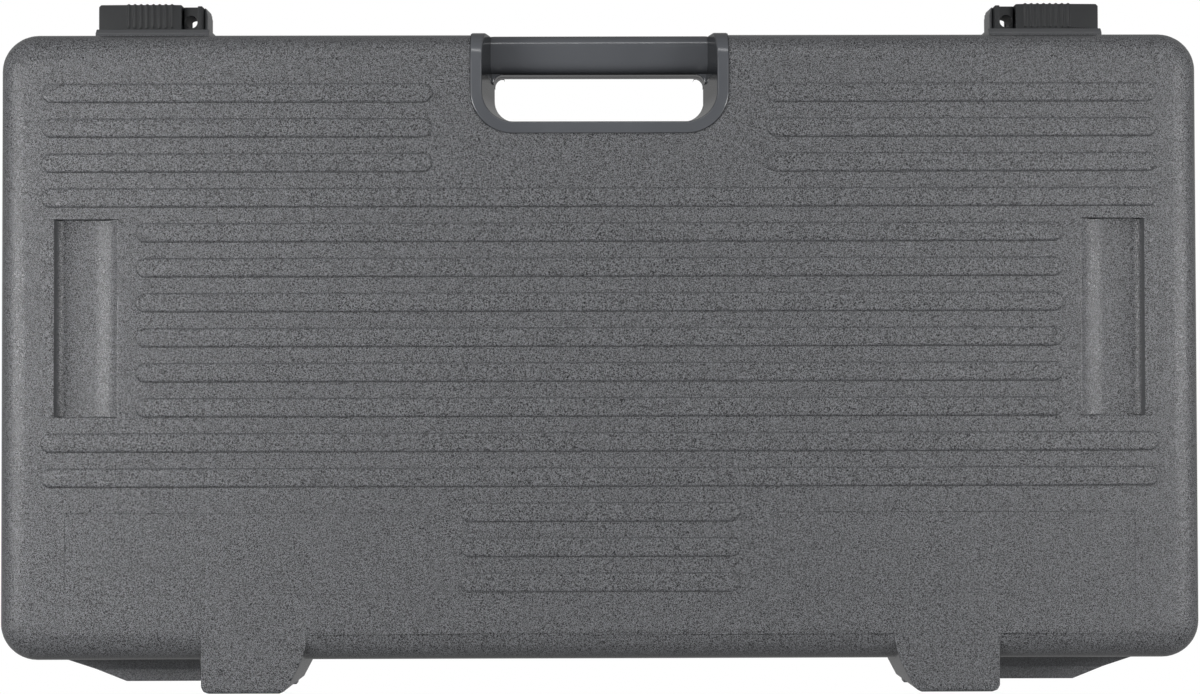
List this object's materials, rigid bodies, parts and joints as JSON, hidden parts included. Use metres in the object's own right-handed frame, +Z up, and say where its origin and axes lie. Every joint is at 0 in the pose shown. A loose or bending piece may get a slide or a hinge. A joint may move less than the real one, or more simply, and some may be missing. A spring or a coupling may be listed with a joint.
{
  "type": "guitar pedal case",
  "caption": "Hard moulded case for guitar effect pedals: hinged ribbed lid, slide latches, a grip through the front edge, pedal mat, lid foam and junction box.",
  "frame": {"origin": "under the middle of the bounding box, on the plane of the feet", "axes": "+Z up through the lid, +X along the width towards the left latch as the picture shows it, -Y towards the handle and latches, +Y towards the hinges"},
  "size_m": [0.675, 0.3885, 0.1312],
  "materials": {
    "shell_grey": "grey blow-moulded polyethylene with a fine pebbled mould grain",
    "handle_grey": "smooth semi-gloss grey moulded plastic",
    "latch_black": "satin blue-black moulded plastic",
    "steel": "zinc-plated steel",
    "foam": "charcoal open-cell foam",
    "mat": "black needle-felt mat",
    "box_black": "black moulded plastic with a fine grain",
    "rubber_black": "black rubber"
  },
  "bodies": {
    "base": {"base_shell": "shell_grey", "base_handle_half": "handle_grey", "latch_rail_left": "latch_black", "latch_rail_right": "latch_black", "latch_rail_screws": "steel", "pedal_mat": "mat", "junction_box_housing": "box_black", "junction_box_cover": "box_black", "junction_box_screws": "steel", "input_jack": "box_black", "output_jack": "box_black", "send_jack": "box_black", "return_jack": "box_black", "jack_nuts": "steel", "power_socket_1": "box_black", "power_socket_2": "box_black", "power_socket_3": "box_black", "rubber_foot_front_left": "rubber_black", "rubber_foot_front_right": "rubber_black", "rubber_foot_rear_left": "rubber_black", "rubber_foot_rear_right": "rubber_black", "foot_screws": "steel"},
    "lid": {"lid_shell": "shell_grey", "lid_handle_half": "handle_grey", "hinge_pin_left": "steel", "hinge_pin_right": "steel", "lid_foam": "foam"},
    "left_latch": {"latch_slider_left": "latch_black"},
    "right_latch": {"latch_slider_right": "latch_black"}
  },
  "joints": [
    {"name": "lid_hinge", "type": "hinge", "parent": "base", "child": "lid", "pos_m": [0, 0.18725, 0.082], "axis": [-1, 0, 0], "range_deg": [0, 105]},
    {"name": "left_latch_slide", "type": "slide", "parent": "base", "child": "left_latch", "axis": [1, 0, 0], "range_m": [0, 0.012]},
    {"name": "right_latch_slide", "type": "slide", "parent": "base", "child": "right_latch", "axis": [-1, 0, 0], "range_m": [0, 0.012]}
  ]
}
